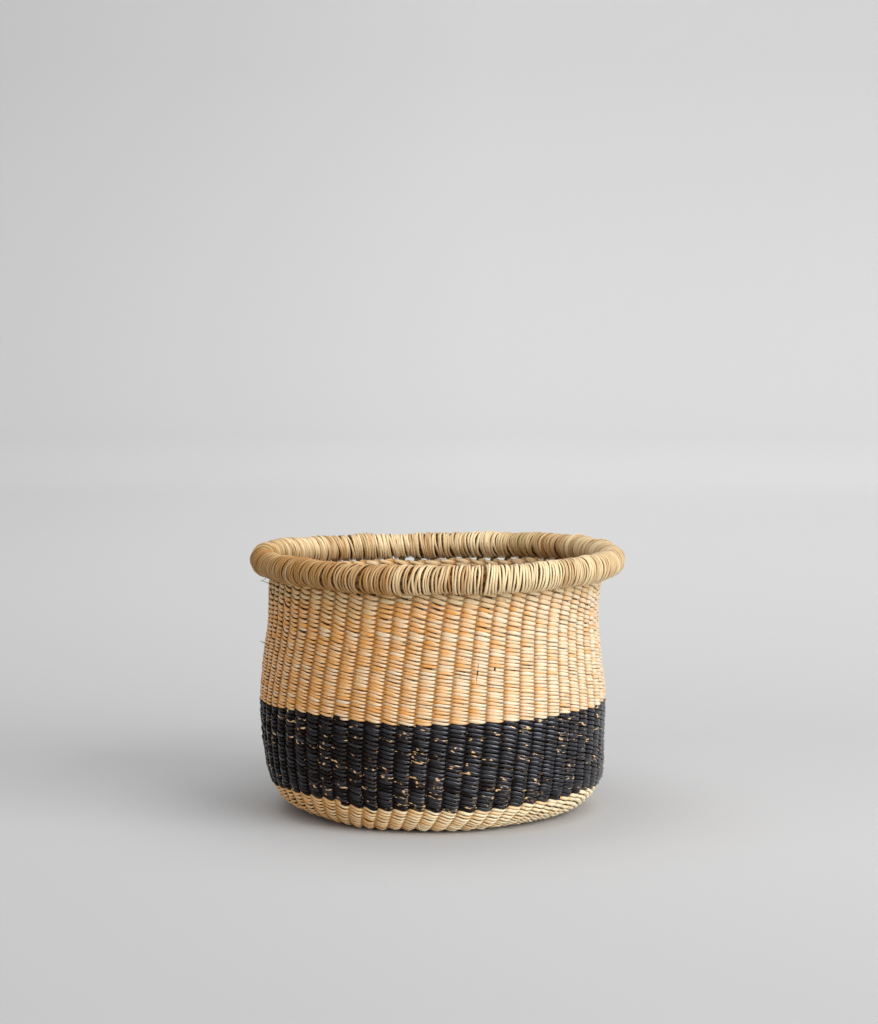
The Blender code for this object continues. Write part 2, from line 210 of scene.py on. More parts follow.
@dataclass
class WallLine:
    """The middle of the woven wall, from the middle of the base out, round the heel and up.

    Attributes:
        rib_face: Points of the outline over the ribs, as radius and height.
        half_wall: How far the middle lies inside that outline.
        heel_lean, wall_lean: Radians that a stake moves round for a metre of heel and wall.
        heel_start, heel_end: Radius at which the heel starts, and height at which it ends.
        sway_heights, sway: How far the body stands off its axis towards +X at some heights.
        bulge, bulge_height, bulge_spread: How much further the heel comes out, the height at
            which that is most, and how far up and down it reaches.
        foot, foot_spread: How much further the foot is pressed out, and how far up.
        press_radii: Radii between which bulge and foot set in.
        follow, follow_heights: How much of the rim's rise the last rows share, and between
            what heights they begin to.
        closing: How much nearer to the roll the last rows come.
        lowest: Height of a strand's middle where it lies on the floor.
        steps: Steps of the smooth line from one point of the outline to the next.
        radius, height, along, facing, leans: The middle at each step: where it is, how far
            along, which way its face looks, and how far the stakes have moved round.
    """

    rib_face: tuple[Span, ...] = (
        (0.0000, 0.0000),
        (0.0600, 0.0000),
        (0.0860, 0.0000),
        (0.0965, 0.0008),
        (0.1086, 0.0076),
        (0.1163, 0.0190),
        (0.1224, 0.0437),
        (0.1248, 0.0790),
        (0.1214, 0.1132),
        (0.1189, 0.1375),
        (0.1200, 0.1680),
    )
    half_wall: float = 0.0030
    heel_lean: float = 3.56
    wall_lean: float = 0.785
    heel_start: float = 0.0915
    heel_end: float = 0.0190
    sway_heights: tuple[float, ...] = (0.000, 0.020, 0.050, 0.110, 0.150, 0.177)
    sway: tuple[float, ...] = (0.0014, 0.0010, 0.0000, -0.0006, 0.0004, 0.0030)
    bulge: Profile = Profile(
        (-180, -135, -90, -45, 0, 45, 90), (0.0012, 0.0006, 0.0004, 0.0022, 0.0038, 0.0018, 0.0)
    )
    bulge_height: float = 0.024
    bulge_spread: float = 0.020
    foot: Profile = Profile(
        (-180, -150, -120, -90, -60, -40, -20, 0),
        (-0.0055, -0.0038, 0.0038, 0.0048, 0.0010, -0.0025, -0.0010, 0.0),
    )
    foot_spread: float = 0.008
    press_radii: Span = (0.05, 0.09)
    follow: float = 0.9
    follow_heights: Span = (0.130, 0.168)
    closing: Profile = Profile(
        (-150, -90, -30, 30, 60, 120, 150), (0.0, 0.0008, 0.0, 0.0, -0.0009, -0.0009, 0.0)
    )
    lowest: float = 0.0008
    steps: int = 48
    radius: Array = field(init=False)
    height: Array = field(init=False)
    along: Array = field(init=False)
    facing: Array = field(init=False)
    leans: Array = field(init=False)

    def __post_init__(self) -> None:
        """Draws a smooth line through the points and measures along its middle."""
        face = self.smooth_face()
        going = np.gradient(face, axis=0)
        going /= np.linalg.norm(going, axis=1)[:, None]
        self.facing = np.stack([going[:, 1], -going[:, 0]], axis=1)
        middle = face - self.facing * self.half_wall
        self.radius, self.height = middle.T
        stretch = np.linalg.norm(np.diff(middle, axis=0), axis=1)
        self.along = np.concatenate([[0.0], np.cumsum(stretch)])
        rate = np.where(self.height < self.heel_end, self.heel_lean, self.wall_lean)
        rate = np.where(self.radius < self.heel_start, 0.0, rate)
        self.leans = np.concatenate([[0.0], np.cumsum(rate[1:] * stretch)])

    def smooth_face(self) -> Array:
        """Draws a smooth line through the outline's points.

        Returns:
            Radius and height at close steps along it.
        """
        points = np.array(self.rib_face)
        chords = np.linalg.norm(np.diff(points, axis=0), axis=1)
        places = np.concatenate([[0.0], np.cumsum(chords)])
        slopes = np.gradient(points, places, axis=0)
        line = []
        share = np.linspace(0, 1, self.steps, endpoint=False)[:, None]
        for index, chord in enumerate(chords):
            near, far = points[index], points[index + 1]
            leave, arrive = slopes[index] * chord, slopes[index + 1] * chord
            bend = 2 * near - 2 * far + leave + arrive
            turn = 3 * far - 3 * near - 2 * leave - arrive
            line.append(near + share * (leave + share * (turn + share * bend)))
        line.append(points[-1:])
        return np.concatenate(line)

    def at_height(self, height: float) -> float:
        """Finds the place along the line where the heel or the wall reaches a height."""
        rising = self.radius > self.heel_start
        return float(np.interp(height, self.height[rising], self.along[rising]))

    def lean(self, along: Array) -> Array:
        """Reads how far the stakes have moved round the basket at places along the line."""
        return np.interp(along, self.along, self.leans)

    def place(self, angle: Array, along: Array, outwards: Values) -> Line:
        """Places points on or off the middle of the wall.

        Args:
            angle: Their angles round the basket.
            along: Their places along the line.
            outwards: How far each stands off the middle.

        Returns:
            The points, the direction up the wall and the direction outwards at each.
        """
        radius = np.interp(along, self.along, self.radius)
        height = np.interp(along, self.along, self.height)
        out_r = np.interp(along, self.along, self.facing[:, 0])
        out_z = np.interp(along, self.along, self.facing[:, 1])
        length = np.hypot(out_r, out_z)
        out_r, out_z = out_r / length, out_z / length
        near = bell(height - self.bulge_height, self.bulge_spread)
        pressed = self.bulge.at(angle) * near + self.foot.at(angle) * bell(height, self.foot_spread)
        reach = radius + out_r * outwards + pressed * smooth_step(*self.press_radii, radius)
        rise = height + out_z * outwards
        lift = self.follow * RIM_LIFT.at(angle) + self.closing.at(angle)
        rise = rise + lift * smooth_step(*self.follow_heights, rise)
        rise = np.maximum(rise, self.lowest)
        cos, sin = np.cos(angle), np.sin(angle)
        shift = np.interp(rise, self.sway_heights, self.sway)
        points = np.stack([reach * cos + shift, reach * sin, rise], axis=-1)
        up = np.stack([-out_z * cos, -out_z * sin, out_r], axis=-1)
        out = np.stack([out_r * cos, out_r * sin, out_z], axis=-1)
        return points, up, out


@dataclass
class Strand:
    """A strand to sweep, given at each station of its line or for all of them.

    Attributes:
        centre, across, outwards: Its middle, and directions of its flat side and its face.
        half_width, half_depth: Half its size across and outwards.
        looks: Values from 0 to 1 that its material reads, by name.
        ring: Whether its end joins its start.
    """

    centre: Array
    across: Array
    outwards: Array
    half_width: Values
    half_depth: Values
    looks: dict[str, Values]
    ring: bool = False


@dataclass
class StrandMesh:
    """Sweeps strands into one mesh with a map along them and their looks as attributes.

    Attributes:
        name: The piece's name.
        sides, squareness: Faces round a strand, and its section's exponent, under 1 for flat.
        points, faces, corners, looks, count: What is swept so far: points, faces, the map at
            their corners, looks by name, and the number of points.
    """

    name: str
    sides: int = 6
    squareness: float = 0.9
    points: list[Array] = field(default_factory=list)
    faces: list[list[int]] = field(default_factory=list)
    corners: list[Array] = field(default_factory=list)
    looks: dict[str, list[Array]] = field(default_factory=dict)
    count: int = 0

    def add(self, strand: Strand) -> None:
        """Sweeps one strand.

        Args:
            strand: The strand, with two stations or more.
        """
        stations = len(strand.centre)
        turn = np.arange(self.sides) * TURN / self.sides
        cos = np.sign(np.cos(turn)) * np.abs(np.cos(turn)) ** self.squareness
        sin = np.sign(np.sin(turn)) * np.abs(np.sin(turn)) ** self.squareness
        half_width = np.broadcast_to(strand.half_width, stations)[:, None]
        half_depth = np.broadcast_to(strand.half_depth, stations)[:, None]
        wide = (half_width * cos)[..., None] * strand.across[:, None]
        deep = (half_depth * sin)[..., None] * strand.outwards[:, None]
        self.points.append((strand.centre[:, None] + wide + deep).reshape(-1, 3))
        for name, values in strand.looks.items():
            spread = np.repeat(np.broadcast_to(values, stations), self.sides)
            self.looks.setdefault(name, []).append(spread)
        self.sheathe(strand, stations)
        self.count += stations * self.sides

    def sheathe(self, strand: Strand, stations: int) -> None:
        """Adds the faces between a strand's stations, and its ends, with their map.

        Args:
            strand: The strand.
            stations: How many stations it has.
        """
        going = strand.centre[1] - strand.centre[0]
        forwards = float(np.dot(np.cross(strand.across[0], strand.outwards[0]), going)) > 0
        spans = stations if strand.ring else stations - 1
        near = np.repeat(np.arange(spans), self.sides)
        side = np.tile(np.arange(self.sides), spans)
        far, after = (near + 1) % stations, (side + 1) % self.sides
        first = self.count + near * self.sides
        last = self.count + far * self.sides
        quads = np.stack([first + side, first + after, last + after, last + side], axis=1)
        steps = np.linalg.norm(np.diff(strand.centre, axis=0, append=strand.centre[:1]), axis=1)
        length = np.concatenate([[0.0], np.cumsum(steps)])
        start, end = length[near], length[near + 1]
        low, high = side / self.sides, (side + 1) / self.sides
        map_u = np.stack([start, start, end, end], axis=1)
        map_v = np.stack([low, high, high, low], axis=1)
        if not forwards:
            quads, map_u, map_v = quads[:, ::-1], map_u[:, ::-1], map_v[:, ::-1]
        self.faces.extend(quads.tolist())
        self.corners.append(np.stack([map_u, map_v], axis=-1).reshape(-1, 2))
        if strand.ring:
            return
        for station, outer in ((0, True), (stations - 1, False)):
            cap = [self.count + station * self.sides + number for number in range(self.sides)]
            self.faces.append(cap[::-1] if outer == forwards else cap)
            self.corners.append(np.tile([length[station], 0.5], (self.sides, 1)))

    def make(self) -> bpy.types.Object:
        """Builds the mesh and its object.

        Returns:
            The object, linked to the scene and shaded smooth.
        """
        mesh = bpy.data.meshes.new(self.name)
        mesh.from_pydata(np.concatenate(self.points).tolist(), [], self.faces)
        straw_map = mesh.uv_layers.new(name="straw")
        straw_map.data.foreach_set("uv", np.concatenate(self.corners).astype(np.float32).ravel())
        for name, parts in self.looks.items():
            attribute = mesh.attributes.new(name, "FLOAT", "POINT")
            attribute.data.foreach_set("value", np.concatenate(parts).astype(np.float32))
        mesh.shade_smooth()
        piece = bpy.data.objects.new(self.name, mesh)
        bpy.context.scene.collection.objects.link(piece)
        return piece


class NodeSheet:
    """A material's nodes, with short calls that add and join them."""

    def __init__(self, name: str) -> None:
        """Starts a material of that name."""
        self.material = bpy.data.materials.new(name)
        self.material.use_nodes = True
        self.tree = self.material.node_tree
        self.shader = self.tree.nodes["Principled BSDF"].inputs

    def join(self, source: object, target: Socket) -> None:
        """Feeds a socket with another socket or with a plain value.

        Args:
            source: A socket, a number or a tuple.
            target: The socket that takes it.
        """
        if isinstance(source, Socket):
            self.tree.links.new(source, target)
        elif isinstance(source, tuple):
            target.default_value = (*source, 1.0) if len(target.default_value) == 4 else source
        else:
            target.default_value = source

    def attribute(self, name: str) -> Socket:
        """Reads one of the strands' looks by name."""
        node = self.tree.nodes.new("ShaderNodeAttribute")
        node.attribute_name = name
        return node.outputs["Fac"]

    def parts(self, vector: Socket) -> bpy.types.NodeOutputs:
        """Splits a vector into its X, Y and Z."""
        node = self.tree.nodes.new("ShaderNodeSeparateXYZ")
        self.join(vector, node.inputs["Vector"])
        return node.outputs

    def straw_map(self, scale: Place, start: Place = (0.0, 0.0, 0.0)) -> Socket:
        """Reads the map along a strand, stretched.

        Args:
            scale: Stretch along, round and off the strand.
            start: Where the pattern starts.

        Returns:
            The stretched coordinates.
        """
        source = self.tree.nodes.new("ShaderNodeUVMap")
        source.uv_map = "straw"
        mapping = self.tree.nodes.new("ShaderNodeMapping")
        self.join(source.outputs["UV"], mapping.inputs["Vector"])
        self.join(scale, mapping.inputs["Scale"])
        self.join(start, mapping.inputs["Location"])
        return mapping.outputs["Vector"]

    def noise(self, vector: Socket, detail: float = 1.0) -> Socket:
        """Adds a noise of size 1, with as many finer layers as the detail says."""
        node = self.tree.nodes.new("ShaderNodeTexNoise")
        self.join(vector, node.inputs["Vector"])
        self.join(1.0, node.inputs["Scale"])
        self.join(detail, node.inputs["Detail"])
        return node.outputs["Fac"]

    def here(self) -> Socket:
        """Gives the place on the object, in metres."""
        return self.tree.nodes.new("ShaderNodeTexCoord").outputs["Object"]

    def math(self, operation: str, *values: object, clamp: bool = True) -> Socket:
        """Works out a sum.

        Args:
            operation: Its name.
            values: The values or sockets that go in.
            clamp: Whether the result is held between 0 and 1.

        Returns:
            The result.
        """
        node = self.tree.nodes.new("ShaderNodeMath")
        node.operation = operation
        node.use_clamp = clamp
        for value, socket in zip(values, node.inputs):
            self.join(value, socket)
        return node.outputs["Value"]

    def spread(self, source: Socket, span: Span, into: Span = (0.0, 1.0)) -> Socket:
        """Maps one range of values onto another.

        Args:
            source: The values.
            span: The range that is read.
            into: The range that comes out.

        Returns:
            The mapped values.
        """
        node = self.tree.nodes.new("ShaderNodeMapRange")
        self.join(source, node.inputs["Value"])
        for name, value in zip(("From Min", "From Max", "To Min", "To Max"), (*span, *into)):
            self.join(value, node.inputs[name])
        return node.outputs["Result"]

    def mix(self, share: Socket, first: object, second: object) -> Socket:
        """Mixes two colours.

        Args:
            share: How much of the second shows.
            first: A colour or its socket.
            second: Another.

        Returns:
            The mixed colour.
        """
        node = self.tree.nodes.new("ShaderNodeMix")
        node.data_type = "RGBA"
        self.join(share, node.inputs["Factor"])
        colours = [socket for socket in node.inputs if socket.type == "RGBA"]
        self.join(first, colours[0])
        self.join(second, colours[1])
        return next(socket for socket in node.outputs if socket.type == "RGBA")

    def bump(self, height: Socket, strength: float, depth: float) -> None:
        """Lets the surface rise and fall with a height.

        Args:
            height: The height from 0 to 1.
            strength: How much of it shows.
            depth: What a height of 1 stands for, in metres.
        """
        node = self.tree.nodes.new("ShaderNodeBump")
        self.join(strength, node.inputs["Strength"])
        self.join(depth, node.inputs["Distance"])
        self.join(height, node.inputs["Height"])
        self.join(node.outputs["Normal"], self.shader["Normal"])


@dataclass(frozen=True)
class StrawFinish:
    """Dried straw: pale and deep stalks with painted shade where they dive and along their edges, green
    where it is young.

    Attributes:
        name: The material's name.
        pale, deep: Colours of the palest and the deepest stalks.
        shade_and_speck_colour: Colour of the painted shade where a strand dives between the stakes and along
            its edges, and of its dark specks.
        green: Colour of young straw.
        roughness: From a shining to a dull stalk.
        gloss, gloss_tint: How strongly it mirrors, and in what colour.
        sheen, sheen_roughness: How much soft light the fibres catch, and how they scatter it.
        edge_shade_depth: How much painted shade darkens its edges.
        fibres, streak: Fineness of the fibres, and how far they move the tone.
        relief, relief_share: How high they stand, and how much of that shows.
        specks, speck_start, speck_depth: Fineness, start and darkness of the dark specks.
    """

    name: str
    pale: Colour
    deep: Colour
    shade_and_speck_colour: Colour
    green: Colour
    roughness: Span = (0.34, 0.50)
    gloss: float = 0.50
    gloss_tint: Colour = (1.0, 1.0, 1.0)
    sheen: float = 0.05
    sheen_roughness: float = 0.5
    edge_shade_depth: float = 0.50
    fibres: Place = (70.0, 9.0, 1.0)
    streak: float = 0.40
    relief: float = 0.0003
    relief_share: float = 0.8
    specks: Place = (150.0, 2.6, 1.0)
    speck_start: Place = (3.1, 1.7, 0.0)
    speck_depth: float = 0.35

    def material(self) -> bpy.types.Material:
        """Builds the material.

        Returns:
            The material, for strands with their map and looks.
        """
        sheet = NodeSheet(self.name)
        fibres = sheet.noise(sheet.straw_map(self.fibres), 3.0)
        edge_shade = self.edge_shade(sheet)
        # Painted shade along both edges of each strand.
        colour = sheet.mix(edge_shade, self.colour(sheet, fibres), self.shade_and_speck_colour)
        sheet.join(colour, sheet.shader["Base Color"])
        sheet.join(self.shine(sheet, edge_shade), sheet.shader["Specular IOR Level"])
        sheet.join(self.gloss / 2, sheet.shader["Specular IOR Level"])
        sheet.join(sheet.spread(fibres, (0.3, 0.7), self.roughness), sheet.shader["Roughness"])
        sheet.join(self.gloss_tint, sheet.shader["Specular Tint"])
        sheet.join(self.sheen, sheet.shader["Sheen Weight"])
        sheet.join(self.sheen_roughness, sheet.shader["Sheen Roughness"])
        sheet.bump(fibres, self.relief_share, self.relief)
        return sheet.material

    def shine(self, sheet: NodeSheet, edge_shade: Socket) -> Socket:
        """Says how strongly the straw mirrors: less where painted shade lies, along its edges and where it
        dives.
        """
        hidden = sheet.math("ADD", edge_shade, sheet.attribute("tuck"))
        return sheet.spread(hidden, (0.0, 0.7), (self.gloss, 0.0))

    def edge_shade(self, sheet: NodeSheet) -> Socket:
        """Finds the two edges of a strand, where painted shade darkens it."""
        round_strand = sheet.parts(sheet.straw_map((1.0, 2 * TURN, 1.0)))["Y"]
        return sheet.spread(sheet.math("COSINE", round_strand, clamp=False), (0.1, 1.0), (0.0, self.edge_shade_depth))

    def stalk(self, sheet: NodeSheet, fibres: Socket) -> Socket:
        """Mixes the pale and the deep colour by the straw's tone, painted light and shade included, and its
        fibres.
        """
        streaks = sheet.spread(fibres, (0.32, 0.68), (-self.streak, self.streak))
        return sheet.mix(sheet.math("ADD", sheet.attribute("tone"), streaks), self.pale, self.deep)

    def colour(self, sheet: NodeSheet, fibres: Socket) -> Socket:
        """Lays the colours over each other.

        Args:
            sheet: The material's nodes.
            fibres: Height of the fibres.

        Returns:
            The colour of the surface.
        """
        stalk = self.stalk(sheet, fibres)
        young = sheet.mix(sheet.attribute("green"), stalk, self.green)
        specks = sheet.noise(sheet.straw_map(self.specks, self.speck_start))
        marks = sheet.spread(specks, (0.70, 0.76), (0.0, self.speck_depth))
        # Dark specks, then painted shade wherever the strand's attribute asks for it.
        return sheet.mix(sheet.attribute("tuck"), sheet.mix(marks, young, self.shade_and_speck_colour), self.shade_and_speck_colour)


@dataclass(frozen=True)
class DyedFinish(StrawFinish):
    """Straw dyed black, with short stretches that the dye has missed.

    Attributes:
        bare, thin: Colours where the dye is missing and where it is thin.
        flecks, fleck_start: Fineness and start of the missed stretches.
    """

    bare: Colour = (0.70, 0.46, 0.22)
    thin: Colour = (0.110, 0.055, 0.025)
    flecks: Place = (260.0, 5.2, 1.0)
    fleck_start: Place = (7.3, 0.9, 0.0)

    def shine(self, sheet: NodeSheet, edge_shade: Socket) -> Socket:
        """Says how strongly the straw mirrors: most where its tone is pale, so the painted light also brings
        painted highlights on the lit side and at the lit end of each pass.
        """
        # Painted highlight: more gloss where the tone is pale, on the lit side of the basket and at the lit
        # end of each pass.
        smooth = sheet.spread(sheet.attribute("tone"), (0.15, 0.90), (1.0, 0.10))
        return sheet.math("MULTIPLY", super().shine(sheet, edge_shade), smooth)

    def colour(self, sheet: NodeSheet, fibres: Socket) -> Socket:
        """Lays black dye over straw and leaves the missed stretches open."""
        dyed = self.stalk(sheet, fibres)
        flecks = sheet.noise(sheet.straw_map(self.flecks, self.fleck_start))
        missed = sheet.math("MULTIPLY", sheet.attribute("bare"), sheet.spread(flecks, (0.55, 0.65)))
        thin = sheet.mix(sheet.spread(missed, (0.05, 0.45)), dyed, self.thin)
        return sheet.mix(sheet.spread(missed, (0.45, 0.75)), thin, self.bare)


@dataclass
class Finishes:
    """One finish for each kind of straw in the basket."""

    honey: StrawFinish = StrawFinish(
        "honey_straw",
        pale=(0.79, 0.675, 0.48),
        deep=(0.79, 0.36, 0.074),
        shade_and_speck_colour=(0.13, 0.040, 0.006),
        green=(0.66, 0.49, 0.23),
    )
    natural: StrawFinish = StrawFinish(
        "natural_straw",
        pale=(1.0, 0.88, 0.60),
        deep=(0.87, 0.47, 0.15),
        shade_and_speck_colour=(0.26, 0.12, 0.025),
        green=(0.44, 0.34, 0.13),
        edge_shade_depth=0.55,
    )
    rim: StrawFinish = StrawFinish(
        "rim_straw",
        pale=(0.83, 0.655, 0.385),
        deep=(0.37, 0.165, 0.026),
        shade_and_speck_colour=(0.12, 0.048, 0.008),
        green=(0.40, 0.27, 0.09),
        edge_shade_depth=0.62,
    )
    stake: StrawFinish = StrawFinish(
        "stake_straw",
        pale=(0.90, 0.70, 0.40),
        deep=(0.70, 0.42, 0.16),
        shade_and_speck_colour=(0.020, 0.010, 0.004),
        green=(0.44, 0.34, 0.13),
    )
    black: DyedFinish = DyedFinish(
        "black_straw",
        pale=(0.0050, 0.0046, 0.0068),
        deep=(0.0100, 0.0064, 0.0052),
        shade_and_speck_colour=(0.0012, 0.0010, 0.0010),
        green=(0.0100, 0.0100, 0.0100),
        roughness=(0.13, 0.23),
        gloss=1.0,
        edge_shade_depth=0.80,
        gloss_tint=(0.86, 0.90, 1.0),
        sheen=0.0,
    )


def dress(piece: bpy.types.Object, material: bpy.types.Material, slot: Slot, *nodes: str) -> None:
    """Gives a piece its material, hangs it under the body and hides the CAD nodes that it replaces.

    Args:
        piece: The piece.
        material: Its material.
        slot: Not used.
        nodes: The CAD nodes that it replaces.
    """
    piece.data.materials.append(material)
    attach(piece, BODY)
    if nodes:
        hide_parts(*nodes)
    logging.info("%s: %d faces", piece.name, len(piece.data.polygons))


@dataclass
class TwinedBand:
    """A band of twining: two strands that pass each other between the stakes, turn by turn.

    A share tells how much of a strand's pass of one stake lies behind, from 0 to 1.

    Attributes:
        start, end: Where the band starts and ends along the wall's line.
        first_pitch, last_pitch: Height of its first and its last row.
        seed: What its unevenness is drawn from.
        stakes, first_stake: Stakes that it passes in a turn, and the one that it starts at.
        half_depth, stand_off: Half a strand's thickness, and how far it stands off the middle.
        depths: That thickness at a dive, for 1, and what it loses over a stake.
        stations: Shares at which a strand is drawn.
        lateness, fullness: Over 1 to come out late and dive fast, under 1 to stay out longer.
        climb: How far a pass climbs, for a row's height of 1.
        width_shares, widths: Half widths at some shares, for a row's height of 1.
        swell, drift, lift: How uneven a pass is in width, height and standing off, by chance.
        row_wander, face_wander: How rows wander up and down, and the wall's face in and out.
        row_lift, lift_height, lift_spread: How much higher the rows round the heel lie, where
            that is most, and how far along the wall it reaches.
        straw_stakes: Fewest stakes that a straw passes, and one over the most.
        tone, pass_tone: Middle and unevenness of a straw's tone, and unevenness of a pass.
        painted_lobe_light, painted_lobe_light_middle: Painted light along a pass: how much paler its lit end
        is made than its shaded start, and the share at which the straw keeps its own tone.
        painted_side_light: Painted light and shade round the basket: how much deeper the straw's tone is
            made at each angle, deeper on the shaded left, paler on the lit right.
        painted_shade_depths, painted_shade_shares: How much painted shade a pass gets where it comes out and
        where it dives, and the shares at which the first ends and the second begins.
        green_height, green_wander, green_edge: Height from which straw is young, how that
            wanders, and how soft its edge is.
        greens: The least and the most green of young straw.
        clusters, missed: How undyed stretches cluster, and from what sum a pass is undyed.
    """

    name: str
    start: float
    end: float
    first_pitch: float
    last_pitch: float
    seed: int
    stakes: int = STAKES
    first_stake: int = 41
    half_depth: float = 0.00072
    stand_off: float = 0.00180
    depths: Span = (1.05, 0.10)
    stations: tuple[float, ...] = (0.02, 0.26, 0.42, 0.50, 0.60, 0.78)
    lateness: float = 1.65
    fullness: float = 0.8
    climb: float = 0.30
    width_shares: tuple[float, ...] = (0.0, 0.10, 0.28, 0.52, 0.76, 0.92, 1.0)
    widths: tuple[float, ...] = (0.42, 0.50, 0.58, 0.57, 0.45, 0.35, 0.39)
    swell: float = 0.14
    drift: float = 0.07
    lift: float = 0.00022
    row_wander: Wander = Wander(0.00040, 5, waves=9, most_turns=14)
    face_wander: Wander = Wander(0.00025, 7, climb=45.0)
    row_lift: Profile = Profile(
        (-180, -145, -115, -90, -65, -45, -20, 0), (0.003, 0.0034, 0.001, 0.0, 0.001, 0.003, 0.003, 0.002)
    )
    lift_height: float = 0.0190
    lift_spread: float = 0.0110
    straw_stakes: tuple[int, int] = (5, 26)
    tone: Span = (0.45, 0.15)
    pass_tone: float = 0.09
    painted_lobe_light: float = 0.60
    painted_lobe_light_middle: float = 0.45
    painted_side_light: Profile = STRAW_PAINTED_LIGHT
    painted_shade_depths: Span = (0.60, 0.25)
    painted_shade_shares: Span = (0.22, 0.92)
    green_height: float = 0.1560
    green_wander: Wander = Wander(0.0035, 8, climb=0.0)
    green_edge: float = 0.003
    greens: Span = (0.15, 0.75)
    clusters: Wander = Wander(0.03, 9, waves=9, most_turns=23, climb=260.0)
    missed: Span = (0.64, 0.80)

    def build(self, wall: WallLine) -> bpy.types.Object:
        """Sweeps both strands along the wall's line, into one piece."""
        mesh = StrandMesh(self.name)
        for phase in (0, 1):
            mesh.add(self.strand(wall, phase))
        return mesh.make()

    def strand(self, wall: WallLine, phase: int) -> Strand:
        """Lays one of the two strands.

        Args:
            wall: The wall's line.
            phase: 0 for the strand over even stakes, 1 for the other.

        Returns:
            The strand.
        """
        rows = round(2 * (self.end - self.start) / (self.first_pitch + self.last_pitch))
        fit = (self.end - self.start) / rows / ((self.first_pitch + self.last_pitch) / 2)
        first, last = self.first_pitch * fit, self.last_pitch * fit
        lobes = rows * self.stakes
        passed = np.concatenate([(np.arange(lobes)[:, None] + self.stations).ravel(), [float(lobes)]])
        turns = passed / self.stakes
        pitch = first + (last - first) * turns / rows
        along = self.start + first * turns + (last - first) * turns**2 / (2 * rows)
        angle = (passed + self.first_stake * self.stakes / STAKES) * TURN / self.stakes

        weave = passed + phase + 0.5
        share = weave - np.floor(weave)
        inside = np.mod(np.floor(weave), 2)
        side = np.where(inside, -1, 1)
        over = np.sin(math.pi * np.where(inside, share, share**self.lateness))
        climb = self.climb * (side * np.cos(math.pi * share))
        chance = Chance(self.seed + phase, passed, lobes)
        swell = chance.normal(1.0, self.swell)
        drift = chance.normal(0.0, self.drift)
        lift = chance.normal(0.0, self.lift)
        low = bell(along - wall.at_height(self.lift_height), self.lift_spread)
        along = along + self.row_wander.at(angle, along) + pitch * (drift + climb)
        along = along + self.row_lift.at(angle) * low
        outwards = self.stand_off * (side * over**self.fullness) + lift + self.face_wander.at(angle, along)
        turned = angle + wall.lean(along) + SIDEWAYS.at(angle, along)
        looks = self.looks(wall, chance, angle, along, share)
        half_width = pitch * swell * np.interp(share, self.width_shares, self.widths)
        half_depth = self.half_depth * (self.depths[0] - self.depths[1] * over)
        return Strand(*wall.place(turned, along, outwards), half_width, half_depth, looks)

    def looks(
        self, wall: WallLine, chance: Chance, angle: Array, along: Array, share: Array
    ) -> dict[str, Array]:
        """Gives each spliced straw its tone, with painted light and shade, and says where it gets painted
        shade, where it is green and where bare.

        Args:
            wall: The wall's line.
            chance: The draws for the strand.
            angle: Angle at each station.
            along: Place along the wall's line.
            share: Share of the pass that lies behind.

        Returns:
            The looks at each station, by name.
        """
        tone = chance.own(chance.straws(self.straw_stakes), *self.tone)
        tone = tone + chance.normal(0.0, self.pass_tone)
        # Painted light and shade: a pass is made paler towards the end where it dives, its lit right end
        # seen from the front, and deeper at its shaded start; the straw is paler on the lit side of the
        # basket.
        tone = tone + self.painted_lobe_light * (self.painted_lobe_light_middle - share) + self.painted_side_light.at(angle)
        # Painted shade where a pass comes out of the wall and where it dives between the stakes.
        out_dark, in_dark = self.painted_shade_depths
        out, dive = self.painted_shade_shares
        tuck = out_dark * (1 - smooth_step(0.0, out, share)) + in_dark * smooth_step(dive, 1.0, share)
        edge = wall.at_height(self.green_height) + self.green_wander.at(angle)
        green = smooth_step(-self.green_edge, self.green_edge, along - edge) * chance.uniform(*self.greens)
        missed = chance.uniform(0.0, 1.0) + self.clusters.at(angle, along)
        bare = smooth_step(*self.missed, missed)
        return {"tone": np.clip(tone, 0.0, 1.0), "tuck": tuck, "green": green, "bare": bare}


